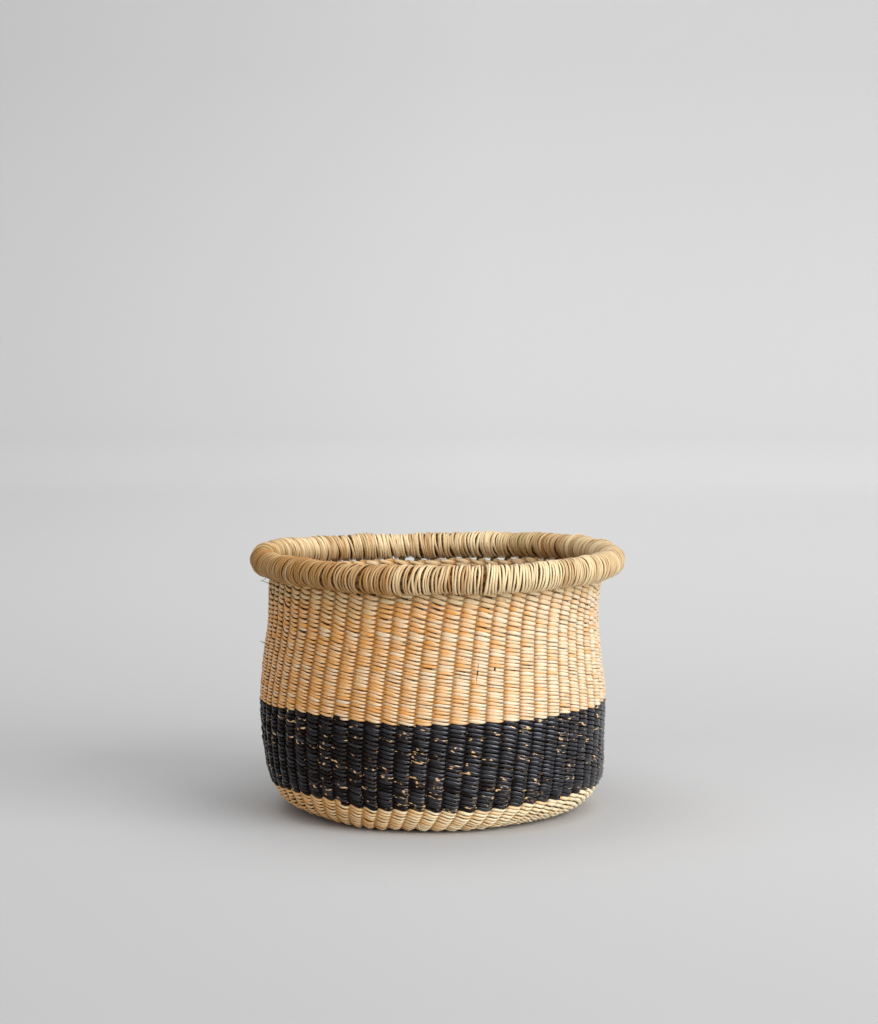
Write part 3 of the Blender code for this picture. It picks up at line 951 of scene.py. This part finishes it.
@dataclass
class Rim:
    """The roll round the mouth: a hoop of bundled straw and the turns that wrap it.

    Attributes:
        radius, height: Of the roll's middle.
        roll, core: Radii of the wrapped roll and of the hoop inside it.
        shift, lean: How far the roll stands off towards +X, and the stakes have moved round.
        out_of_round, out_of_level: How the roll wanders outwards, and up and down.
        core_straws, core_twists, core_stations: Straws in the hoop, their twists and stations.
        core_seat, core_width: Where they lie and half their width, as shares of its radius.
        tip_inwards, tip_down: Where the last two points of a stake lie, as the same shares.
        turns, lengths, stations: Turns of the wrapping, its lengths, and stations for a turn.
        seed: What the wrapping's unevenness is drawn from.
        half_width, half_depth: Half the width and the thickness of the straw.
        squeeze: How far the turns are drawn together between two stakes, from 0 to 1.
        squeeze_angle, squeeze_reach: Where round the roll that is most, and how far it goes.
        squeeze_depth, squeeze_shade: How much thicker they are there, and how much painted shade they get.
        bow, slant: How far a turn's outer face lags behind its top, and its top is ahead.
        knots: In how many parts a turn wavers and lifts.
        waver, tilt, lift, widths: How unevenly turns lie along the roll, slant, stand off and
            are wide, by chance.
        roll_wander, thinning: How the roll's thickness wanders, and where it is thinner.
        slip, slip_chance, slip_lift: How far a turn slips, how often, and its rise for that.
        width_middle, tightness: Width over the roll, and how much less it is in the mouth.
        straw_turns: Fewest turns of a straw, and one over the most.
        straw_tone, turn_tone: How uneven the tones of the straws and of their turns are.
        green, greens, tones: A straw's green, how green straw is round the rim, and painted light and shade
            round it: how much deeper its tone is made at each angle, most on the shaded left.
    """

    radius: float = 0.1242
    height: float = 0.1767
    roll: float = 0.0100
    shift: float = 0.0030
    lean: float = 0.0
    out_of_round: Wander = Wander(0.0004, 31, most_turns=5)
    out_of_level: Wander = Wander(0.0003, 32)
    core: float = 0.0078
    core_straws: int = 7
    core_twists: int = 4
    core_stations: int = 192
    core_seat: float = 0.68
    core_width: float = 0.36
    tip_inwards: Span = (0.55, 0.30)
    tip_down: Span = (0.95, 0.45)
    turns: int = 6 * STAKES
    lengths: int = 4
    stations: int = 20
    seed: int = 40
    half_width: float = 0.00105
    half_depth: float = 0.00092
    squeeze: float = 0.20
    squeeze_angle: float = math.radians(-145)
    squeeze_reach: float = math.radians(40)
    squeeze_depth: float = 0.35
    squeeze_shade: float = 0.35
    bow: float = 0.0026
    slant: float = 0.0014
    knots: int = 6
    waver: float = 0.00046
    tilt: float = 0.00036
    lift: float = 0.00026
    roll_wander: Wander = Wander(0.00030, 33, waves=12, most_turns=40)
    slip: float = 0.0008
    slip_chance: float = 0.07
    slip_lift: float = 0.6
    widths: float = 0.13
    width_middle: float = 1.06
    tightness: float = 0.17
    thinning: Profile = Profile((-180, -140, 140), (0.0011, 0.0, 0.0))
    straw_turns: tuple[int, int] = (3, 11)
    straw_tone: float = 0.17
    turn_tone: float = 0.20
    green: Span = (0.05, 0.36)
    greens: Profile = Profile((-180, -140, -30, 20, 90, 160), (0.6, 0.3, 0.4, 0.9, 1.2, 1.0))
    tones: Profile = Profile(
        (-180, -150, -120, -90, -30, 0, 45, 90, 135), (1.20, 1.08, 0.62, 0.08, 0.38, 0.48, 0.48, 0.16, 0.30)
    )

    def middle(self, angle: Array) -> tuple[Array, Array]:
        """Gives the roll's middle, a little out of round and out of level.

        Args:
            angle: Angles round the basket.

        Returns:
            Points of the middle and the outward direction at each.
        """
        reach = self.radius + self.out_of_round.at(angle)
        rise = self.height + self.out_of_level.at(angle) + RIM_LIFT.at(angle)
        cos, sin = np.cos(angle), np.sin(angle)
        points = np.stack([reach * cos + self.shift, reach * sin, rise], axis=-1)
        return points, np.stack([cos, sin, np.zeros_like(cos)], axis=-1)

    def entry(self, angle: float) -> Array:
        """Gives the last points of a stake's straw, up inside the roll.

        Args:
            angle: The straw's angle round the basket.

        Returns:
            Two points, under the hoop and inside the wrapping.
        """
        middle, out = self.middle(np.array([angle, angle]))
        points = middle - out * (np.array(self.tip_inwards)[:, None] * self.core)
        points[:, 2] -= np.array(self.tip_down) * self.core
        return points

    def build_core(self) -> bpy.types.Object:
        """Lays the straws of the hoop, slowly twisted round each other.

        Returns:
            The hoop as one piece.
        """
        mesh = StrandMesh("straw_rim_core", squareness=1.0)
        angle = np.linspace(0, TURN, self.core_stations + 1)[:-1]
        middle, out = self.middle(angle)
        width = self.core_width * self.core
        for straw in range(self.core_straws):
            roll = self.core_twists * angle + straw * TURN / self.core_straws
            face = np.cos(roll)[:, None] * out + np.sin(roll)[:, None] * UP
            side = -np.sin(roll)[:, None] * out + np.cos(roll)[:, None] * UP
            centre = middle + face * self.core_seat * self.core
            # Painted shade over the whole hoop, which shows only in the gaps of the wrapping.
            looks = {"tone": 0.3 + 0.07 * straw, "tuck": 0.70, "green": 0.25}
            mesh.add(Strand(centre, side, face, width, 0.85 * width, looks, ring=True))
        return mesh.make()

    def build_wrap(self, length: int) -> bpy.types.Object:
        """Winds one length of the wrapping.

        Args:
            length: Which of the lengths it is, from 0.

        Returns:
            The length as one piece.
        """
        turns = self.turns // self.lengths
        wound = np.linspace(0.0, turns, turns * self.stations + 1)
        start = length * TURN / self.lengths + STAKE_PITCH / 2 + self.lean
        face = TURN / 4 - TURN * wound
        even = start + wound * TURN / self.turns
        per_stake = self.turns // STAKES
        gap = (np.floor(np.minimum(wound, turns - 0.001) / per_stake) + 0.5) * STAKE_PITCH + start
        round_roll = np.mod(face - self.squeeze_angle + math.pi, TURN) - math.pi
        gather = self.squeeze * bell(round_roll, self.squeeze_reach)

        chance = Chance(self.seed + length, wound, turns)
        waver = chance.normal(0.0, self.waver, self.knots)
        tilt = chance.normal(0.0, self.tilt)
        lift = chance.normal(0.0, self.lift, self.knots) + self.roll_wander.at(even)
        bow = self.bow * (1 - np.cos(face)) + (self.slant + tilt) * np.sin(face)
        slipped = chance.draw.normal(0.0, self.slip, turns + 1)
        slip = chance.between(slipped * (chance.draw.uniform(0, 1, turns + 1) < self.slip_chance))
        lift = lift + self.slip_lift * np.abs(slip) - self.thinning.at(even)
        angle = even * (1 - gather) + gap * gather + (bow + waver + slip) / self.radius
        middle, level = self.middle(angle)
        out = np.cos(face)[:, None] * level + np.sin(face)[:, None] * UP
        along = np.cross(UP, level)
        centre = middle + out * (self.roll - self.half_depth + lift)[:, None]
        own = chance.normal(1.0, self.widths)
        width = self.half_width * own * (self.width_middle - self.tightness * np.cos(face))
        depth = self.half_depth * (1 + self.squeeze_depth * gather)
        looks = self.looks(chance, length * TURN / self.lengths + wound * TURN / self.turns, gather)
        mesh = StrandMesh(f"straw_rim_wrap_{length + 1}", sides=5)
        mesh.add(Strand(centre, along, out, width, depth, looks))
        return mesh.make()

    def looks(self, chance: Chance, angle: Array, gather: Array) -> dict[str, Array]:
        """Gives each straw of the wrapping its tone, with painted light and shade round the rim, and its
        green, and paints shade where the turns are drawn together.

        Args:
            chance: The draws for the length.
            angle: Angle round the basket at each station.
            gather: How far the turns are drawn together there.

        Returns:
            The looks at each station, by name.
        """
        straws = chance.straws(self.straw_turns)
        # Painted light and shade round the rim, added to each straw's own tone.
        tone = chance.own(straws, 0.0, self.straw_tone) + self.tones.at(angle)
        tone = np.clip(tone + chance.normal(0.0, self.turn_tone), 0, 1)
        green = np.clip(chance.own(straws, *self.green) * self.greens.at(angle), 0, 1)
        # Painted shade where the turns are drawn together.
        return {"tone": tone, "tuck": self.squeeze_shade * gather / self.squeeze, "green": green}


@dataclass
class StakeBundles:
    """The stakes: three straws side by side, from the base up into the rim.

    Attributes:
        wall, rim: The wall's line, and the rim that they end in.
        straws, straw_pitch: Straws in a bundle, and from one to the next.
        half_width, half_depth: Half a straw's width and thickness.
        start_radius: Where the added stakes start on the base.
        top: Height at which a stake leaves the wall's line for the roll.
        station_pitch: From one station of a sweep to the next.
        waver, waver_seed: How far a straw wavers, and what the first one's is drawn from.
        shaded, shade: Radii between which the weft comes over a stake, and how much painted shade it then
            gets.
    """

    wall: WallLine
    rim: Rim
    straws: int = 3
    straw_pitch: float = 0.00165
    half_width: float = 0.00090
    half_depth: float = 0.00085
    start_radius: float = 0.0470
    top: float = 0.1650
    station_pitch: float = 0.0045
    waver: float = 0.00018
    waver_seed: int = 11
    shaded: Span = (0.045, 0.060)
    shade: float = 0.90

    def beside(self, straw: int) -> float:
        """Counts a straw from the middle of its bundle."""
        return straw - (self.straws - 1) / 2

    def line(self, number: int, straw: int, start: float) -> Line:
        """Lays one straw of a stake from a place on the base up into the roll.

        Args:
            number: The stake's number round the basket.
            straw: Which straw of its bundle it is, from 0.
            start: Where it starts along the wall's line.

        Returns:
            Its line.
        """
        end = self.wall.at_height(self.top)
        along = np.linspace(start, end, max(2, round((end - start) / self.station_pitch)))
        offset = self.beside(straw) * self.straw_pitch
        foot = number * STAKE_PITCH
        angle = foot + SIDEWAYS.at(foot, along) + self.wall.lean(along)
        waver = Wander(self.waver, self.waver_seed + straw, climb=200.0).at(angle, along)
        centre, up, out = self.wall.place(angle, along, waver)
        side = np.cross(up, out)
        centre = centre + side * (offset + waver)[:, None]
        tips = self.rim.entry(float(angle[-1]) + offset / self.rim.radius)
        ends = (np.repeat(part[-1:], len(tips), axis=0) for part in (side, out))
        return joined((centre, side, out), (tips, *ends))

    def sweep(self, name: str, lines: list[Line], seed: int) -> bpy.types.Object:
        """Sweeps the straws of one stake.

        Args:
            name: The piece's name.
            lines: The lines of its straws.
            seed: What their tones are drawn from.

        Returns:
            The stake as one piece.
        """
        draw = np.random.default_rng(seed)
        mesh = StrandMesh(name, sides=5, squareness=1.0)
        for line in lines:
            radius = np.hypot(line[0][:, 0], line[0][:, 1])
            tone = draw.uniform(0.25, 0.85)
            # Painted shade on the stake where the weft covers it.
            tuck = smooth_step(*self.shaded, radius) * self.shade
            looks = {"tone": tone, "tuck": tuck, "green": draw.uniform(0.0, 0.35)}
            mesh.add(Strand(*line, self.half_width, self.half_depth, looks))
        return mesh.make()


@dataclass
class Crossing:
    """The stakes that cross in the middle of the base, over and under each other.

    Attributes:
        bundles: How stakes are made of straws.
        pitch: From one stake of a layer to the next.
        fan_radius: Where they have spread out evenly.
        weave: How far they pass above and below the middle of the base.
        first, stations: Where a half starts, and its stations up to the crossing's edge.
        crowding: How close the straws of a bundle lie, for 1 up the wall.
    """

    bundles: StakeBundles
    pitch: float = 0.0045
    fan_radius: float = 0.0310
    weave: float = 0.0011
    first: float = 0.0005
    stations: int = 17
    crowding: float = 0.8

    def stake(self, layer: Layer, index: int) -> list[Line]:
        """Lays the straws of a crossing stake from rim to rim.

        Args:
            layer: Its layer.
            index: Its place in its layer.

        Returns:
            The lines of its straws.
        """
        steps = 2 * index - (PER_LAYER - 1)
        quarter = STAKES // 4
        ends = (steps, 2 * quarter - steps) if layer is Layer.X else (quarter - steps, 3 * quarter + steps)
        lines = []
        for straw in range(self.bundles.straws):
            points, side, out = self.half(layer, index, ends[0], straw)
            far_points, far_side, far_out = self.half(layer, index, ends[1], self.bundles.straws - 1 - straw)
            lines.append(joined((points[::-1], side[::-1], out[::-1]), (far_points, -far_side, far_out)))
        return lines

    def half(self, layer: Layer, index: int, number: int, straw: int) -> Line:
        """Lays one straw of a crossing stake from the middle of the base up to the rim.

        Args:
            layer: The stake's layer.
            index: Its place in its layer.
            number: The number round the basket at which it reaches the rim.
            straw: Which straw of its bundle it is, from 0.

        Returns:
            Its line.
        """
        in_x = layer is Layer.X
        angle = number * STAKE_PITCH
        outward = math.copysign(1.0, math.cos(angle) if in_x else math.sin(angle))
        edge = PER_LAYER * self.pitch / 2
        run = np.linspace(self.first, edge, self.stations)
        beat = np.cos(math.pi * (run / self.pitch - 0.5)) * outward * (-1) ** index
        rise = self.weave * beat * smooth_step(-0.001, 0.002, edge - run) * (1 if in_x else -1)
        flat = np.full(len(run), (2 * index - (PER_LAYER - 1)) * self.pitch / 2)
        across = [run * outward, flat] if in_x else [flat, run * outward]
        patch = np.stack([*across, self.bundles.wall.half_wall + rise], axis=-1)
        far = self.bundles.line(number, straw, self.fan_radius)
        heading = np.array([outward, 0.0, 0.0] if in_x else [0.0, outward, 0.0])
        side = np.cross(heading, UP)
        side = side if np.dot(side, far[1][0]) > 0 else -side
        patch = patch + side * self.bundles.beside(straw) * self.bundles.straw_pitch * self.crowding
        return joined((patch, np.tile(side, (len(run), 1)), np.tile(-UP, (len(run), 1))), far)


@dataclass(frozen=True)
class StrayEnd:
    """A cut or loose end of straw that stands out of the weave.

    Attributes:
        degrees: Its angle round the basket.
        height: Where it comes out.
        run: How far it goes on round the basket.
        rise: How far it goes up.
        out: How far its tip stands off.
        width: Half its width.
    """

    degrees: float
    height: float
    run: float
    rise: float
    out: float
    width: float


@dataclass
class StrayEnds:
    """The few ends of straw that were not trimmed.

    Attributes:
        name: The piece's name.
        root: How far off the middle of the wall an end starts.
        taper: How much of its width it loses up to its tip.
        flatness: Its thickness for a width of 1.
        ends: The ends.
    """

    name: str = "stray_ends"
    root: float = 0.0014
    taper: float = 0.55
    flatness: float = 0.8
    ends: tuple[StrayEnd, ...] = (
        StrayEnd(-179, 0.1640, 0.0015, -0.0040, 0.0080, 0.0004),
        StrayEnd(-176, 0.1590, 0.0010, 0.0030, 0.0085, 0.0004),
        StrayEnd(-178, 0.1180, 0.0010, 0.0012, 0.0060, 0.0006),
        StrayEnd(-99.0, 0.1335, 0.0012, 0.0006, 0.0062, 0.0009),
        StrayEnd(-97.4, 0.1333, 0.0012, 0.0006, 0.0060, 0.0008),
        StrayEnd(-123.5, 0.0800, 0.0010, 0.0034, 0.0050, 0.0005),
        StrayEnd(-117.0, 0.0750, 0.0040, 0.0012, 0.0050, 0.0006),
        StrayEnd(-58.0, 0.1480, -0.0030, 0.0026, 0.0048, 0.0005),
        StrayEnd(-75.0, 0.0110, 0.0016, -0.0016, 0.0050, 0.0007),
        StrayEnd(-96.0, 0.0090, 0.0014, -0.0016, 0.0048, 0.0007),
        StrayEnd(-30.0, 0.0960, 0.0030, 0.0020, 0.0050, 0.0005),
        StrayEnd(40.0, 0.1100, 0.0040, 0.0020, 0.0055, 0.0006),
        StrayEnd(130.0, 0.1300, 0.0040, -0.0020, 0.0055, 0.0006),
    )

    def build(self, wall: WallLine) -> bpy.types.Object:
        """Sweeps each end as a short strand that comes out of the weave and tapers off.

        Args:
            wall: The wall's line.

        Returns:
            The ends as one piece.
        """
        mesh = StrandMesh(self.name, squareness=1.0)
        share = np.linspace(0.0, 1.0, 6)
        for end in self.ends:
            root = wall.at_height(end.height)
            radius = float(np.interp(root, wall.along, wall.radius))
            angle = math.radians(end.degrees) + end.run / radius * share
            outwards = self.root + (end.out - self.root) * share**1.3
            centre, up, out = wall.place(angle, root + end.rise * share**1.5, outwards)
            going = np.gradient(centre, axis=0)
            going /= np.linalg.norm(going, axis=1)[:, None]
            side = np.cross(out, going)
            size = np.linalg.norm(side, axis=1)
            side = up if size.min() < 0.2 else side / size[:, None]
            width = end.width * (1 - self.taper * share)
            looks = {"tone": 0.2, "tuck": 0.0, "green": 0.1}
            mesh.add(Strand(centre, side, np.cross(going, side), width, width * self.flatness, looks))
        return mesh.make()


@dataclass(frozen=True)
class Shade:
    """A grey that the studio's paper passes into along an axis.

    Attributes:
        axis, span: The axis, and where along it the grey begins and where it is full.
        share, grey: How much of the grey shows there, and the grey.
    """

    axis: str
    span: Span
    share: float
    grey: float


@dataclass(frozen=True)
class Lamp:
    """A square soft lamp.

    Attributes:
        name: Its name.
        place, target: Where it hangs, and what it faces.
        size, power: Length of its sides, and its power in watts.
    """

    name: str
    place: Place
    target: Place
    size: float
    power: float

    def hang(self) -> None:
        """Adds the lamp and turns it to its target."""
        bpy.ops.object.light_add(type="AREA", location=self.place)
        lamp = bpy.context.object
        lamp.name = self.name
        lamp.data.size = self.size
        lamp.data.energy = self.power
        aim = np.array(self.target) - np.array(self.place)
        tilt = math.atan2(math.hypot(aim[0], aim[1]), -aim[2])
        lamp.rotation_euler = (tilt, 0.0, math.atan2(aim[1], aim[0]) - math.pi / 2)


@dataclass
class Studio:
    """The pale floor with its round cove, the lamps, the world and the camera.

    Attributes:
        floor_colour: Colour of the floor.
        shades: Greys of the back and its foot, lighter to even out the light on the cove, a darker upper
            part, and painted shade on the left and at the front.
        floor_radius, cove_radius, cove_steps: Of the flat floor, and of the curve round it.
        wall_height: Of the cove's wall.
        world_strength: Strength of the white light from all round.
        lamps: A broad window at the right, a weak fill in front and a ceiling.
        camera_place, camera_pitch: Where the camera stands, and how far it looks down.
        lens, sensor: Its focal length and its sensor's longer side, in millimetres.
    """

    floor_colour: Colour = (0.51, 0.51, 0.514)
    shades: tuple[Shade, ...] = (
        Shade("Y", (0.3, 3.2), 1.0, 0.98),
        Shade("Z", (0.0, 0.08), 1.0, 0.88),
        Shade("Z", (0.10, 0.90), 1.0, 0.77),
        # Painted shade: the paper darkens towards the left and towards the front.
        Shade("X", (0.10, -1.00), 0.25, 0.30),
        Shade("Y", (-0.15, -0.55), 0.26, 0.30),
    )
    floor_radius: float = 3.2
    cove_radius: float = 1.0
    cove_steps: int = 12
    wall_height: float = 0.4
    world_strength: float = 0.40
    lamps: tuple[Lamp, ...] = (
        Lamp("right_window", (2.28, -1.84, 1.40), (0.0, 0.0, 0.10), 2.6, 100.0),
        Lamp("front_fill", (0.0, -2.6, 1.1), (0.0, 0.0, 0.10), 2.4, 17.0),
        Lamp("ceiling", (0.1, 0.2, 3.0), (0.1, 0.2, 0.0), 3.5, 57.0),
    )
    camera_place: Place = (0.0043, -1.857, 0.3646)
    camera_pitch: float = 0.0818
    lens: float = 91.5
    sensor: float = 36.0

    def build(self) -> None:
        """Builds the stage, the light and the camera."""
        self.build_floor()
        self.light()
        self.build_camera()

    def build_floor(self) -> None:
        """Models a disc, draws its rim up round a curve into a low wall, and opens the lid."""
        bpy.ops.object.select_all(action="DESELECT")
        bpy.ops.mesh.primitive_circle_add(vertices=128, radius=self.floor_radius, fill_type="NGON")
        floor = bpy.context.object
        floor.name = "studio_floor"
        bpy.ops.object.mode_set(mode="EDIT")
        bpy.ops.mesh.select_all(action="DESELECT")
        bpy.ops.mesh.select_non_manifold()
        reach = self.floor_radius
        for step in range(1, self.cove_steps + 1):
            angle = math.pi / 2 * step / self.cove_steps
            before = math.pi / 2 * (step - 1) / self.cove_steps
            new_reach = self.floor_radius + self.cove_radius * math.sin(angle)
            rise = self.cove_radius * (math.cos(before) - math.cos(angle))
            bpy.ops.mesh.extrude_region_move(TRANSFORM_OT_translate={"value": (0.0, 0.0, rise)})
            share = new_reach / reach
            bpy.ops.transform.resize(value=(share, share, 1.0))
            reach = new_reach
        bpy.ops.mesh.extrude_region_move(TRANSFORM_OT_translate={"value": (0.0, 0.0, self.wall_height)})
        bpy.ops.mesh.delete(type="ONLY_FACE")
        bpy.ops.object.mode_set(mode="OBJECT")
        bpy.ops.object.shade_smooth()
        floor.data.materials.append(self.paper())

    def paper(self) -> bpy.types.Material:
        """Builds the dull paper, which passes from one grey into the next, with painted shade on the left
        and at the front.

        Returns:
            The material.
        """
        sheet = NodeSheet("studio_paper")
        parts = sheet.parts(sheet.here())
        colour = self.floor_colour
        for shade in self.shades:
            share = sheet.spread(parts[shade.axis], shade.span, (0.0, shade.share))
            colour = sheet.mix(share, colour, (shade.grey, shade.grey, shade.grey))
        sheet.join(colour, sheet.shader["Base Color"])
        sheet.join(0.9, sheet.shader["Roughness"])
        sheet.join(0.1, sheet.shader["Specular IOR Level"])
        return sheet.material

    def light(self) -> None:
        """Sets a soft white world and hangs the lamps."""
        world = bpy.data.worlds.new("studio_world")
        bpy.context.scene.world = world
        world.use_nodes = True
        back = world.node_tree.nodes["Background"]
        back.inputs["Color"].default_value = (1.0, 1.0, 1.0, 1.0)
        back.inputs["Strength"].default_value = self.world_strength
        for lamp in self.lamps:
            lamp.hang()

    def build_camera(self) -> None:
        """Sets the camera that took the photograph's view."""
        pitch = math.pi / 2 - self.camera_pitch
        bpy.ops.object.camera_add(location=self.camera_place, rotation=(pitch, 0.0, 0.0))
        camera = bpy.context.object
        camera.data.sensor_width = self.sensor
        camera.data.lens = self.lens
        bpy.context.scene.camera = camera
        bpy.context.scene.view_settings.view_transform = "Standard"


@dataclass
class Basket:
    """The whole basket, built from its line, its finishes and its sub-assemblies.

    Attributes:
        wall, finishes, rim, stray_ends: Its line, its straws and its sub-assemblies.
        first_row: Radius of the first row of twining.
        foot, black_from, black_to, wide_from, collar: Heights at which the heel's rows start,
            the black band starts and ends, the rows get wider, and the last row lies.
        cross_seed, added_seed: What the tones of crossing and of added stakes are drawn from.
    """

    wall: WallLine = field(default_factory=WallLine)
    finishes: Finishes = field(default_factory=Finishes)
    rim: Rim = field(default_factory=Rim)
    stray_ends: StrayEnds = field(default_factory=StrayEnds)
    first_row: float = 0.0262
    foot: float = 0.0040
    black_from: float = 0.0190
    black_to: float = 0.0798
    wide_from: float = 0.1270
    collar: float = 0.1674
    cross_seed: int = 100
    added_seed: int = 200

    def build(self) -> None:
        """Builds each sub-assembly in the order in which a weaver makes it."""
        self.rim.lean = float(self.wall.leans[-1])
        bundles = StakeBundles(self.wall, self.rim)
        natural = self.finishes.natural.material()
        honey = self.finishes.honey.material()
        black = self.finishes.black.material()
        rim_straw = self.finishes.rim.material()
        self.build_stakes(bundles, self.finishes.stake.material())
        self.build_weft(bundles.start_radius, natural, honey, black)
        self.build_rim(rim_straw)
        dress(self.stray_ends.build(self.wall), rim_straw, Slot.RIM)

    def build_stakes(self, bundles: StakeBundles, material: bpy.types.Material) -> None:
        """Builds the crossing stakes and the added ones.

        Args:
            bundles: How stakes are made of straws.
            material: Their straw.
        """
        crossing = Crossing(bundles)
        for layer in Layer:
            for index in range(PER_LAYER):
                node = f"cross_stake_{layer.value}{index + 1}"
                lines = crossing.stake(layer, index)
                piece = bundles.sweep("straw_" + node, lines, self.cross_seed + index)
                dress(piece, material, Slot.NATURAL, node)
        for index in range(STAKES // 2):
            node = f"added_stake_{index + 1:02d}"
            lines = [bundles.line(2 * index, straw, bundles.start_radius) for straw in range(bundles.straws)]
            piece = bundles.sweep("straw_" + node, lines, self.added_seed + index)
            dress(piece, material, Slot.NATURAL, node)

    def build_weft(
        self, added: float, natural: bpy.types.Material, honey: bpy.types.Material, black: bpy.types.Material
    ) -> None:
        """Twines the bands from the middle of the base up to the collar.

        Args:
            added: Radius at which the added stakes start, and the base's rows with them.
            natural: Straw of the base.
            honey: Straw of the upper wall.
            black: Dyed straw of the band.
        """
        heights = (self.foot, self.black_from, self.black_to, self.wide_from, self.collar)
        foot, black_from, black_to, wide_from, collar = (self.wall.at_height(height) for height in heights)
        start = TwinedBand("twined_start", self.first_row, added, 0.0026, 0.0026, 51, STAKES // 2, 0)
        base = TwinedBand("twined_base", added, foot, 0.0027, 0.0027, 53, stations=(0.0, 0.25, 0.50, 0.75))
        heel = TwinedBand("twined_heel", foot, black_from, 0.0026, 0.0026, 55, painted_side_light=HEEL_PAINTED_LIGHT)
        dark = TwinedBand("twined_black_band", black_from, black_to, 0.0029, 0.0029, 57, painted_side_light=DYE_PAINTED_LIGHT)
        lower = TwinedBand("twined_lower_wall", black_to, wide_from, 0.00232, 0.00250, 59)
        upper = TwinedBand("twined_upper_wall", wide_from, collar, 0.00260, 0.00345, 61)
        dress(start.build(self.wall), natural, Slot.NATURAL, "base_start_weft")
        dress(base.build(self.wall), natural, Slot.NATURAL)
        dress(heel.build(self.wall), natural, Slot.NATURAL, "base_weft")
        dress(dark.build(self.wall), black, Slot.BLACK, "black_band_weft")
        dress(lower.build(self.wall), honey, Slot.HONEY, "upper_wall_weft")
        dress(upper.build(self.wall), honey, Slot.HONEY)

    def build_rim(self, material: bpy.types.Material) -> None:
        """Builds the hoop and winds its wrapping, of the given straw."""
        dress(self.rim.build_core(), material, Slot.RIM, "rim_core")
        for length in range(self.rim.lengths):
            dress(self.rim.build_wrap(length), material, Slot.RIM, f"rim_wrap_{length + 1}")


def main() -> None:
    """Builds the basket and its studio."""
    logging.basicConfig(level=logging.INFO, format="%(message)s")
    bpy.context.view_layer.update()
    Basket().build()
    Studio().build()
    bpy.context.view_layer.update()


if __name__ == "__main__":
    main()
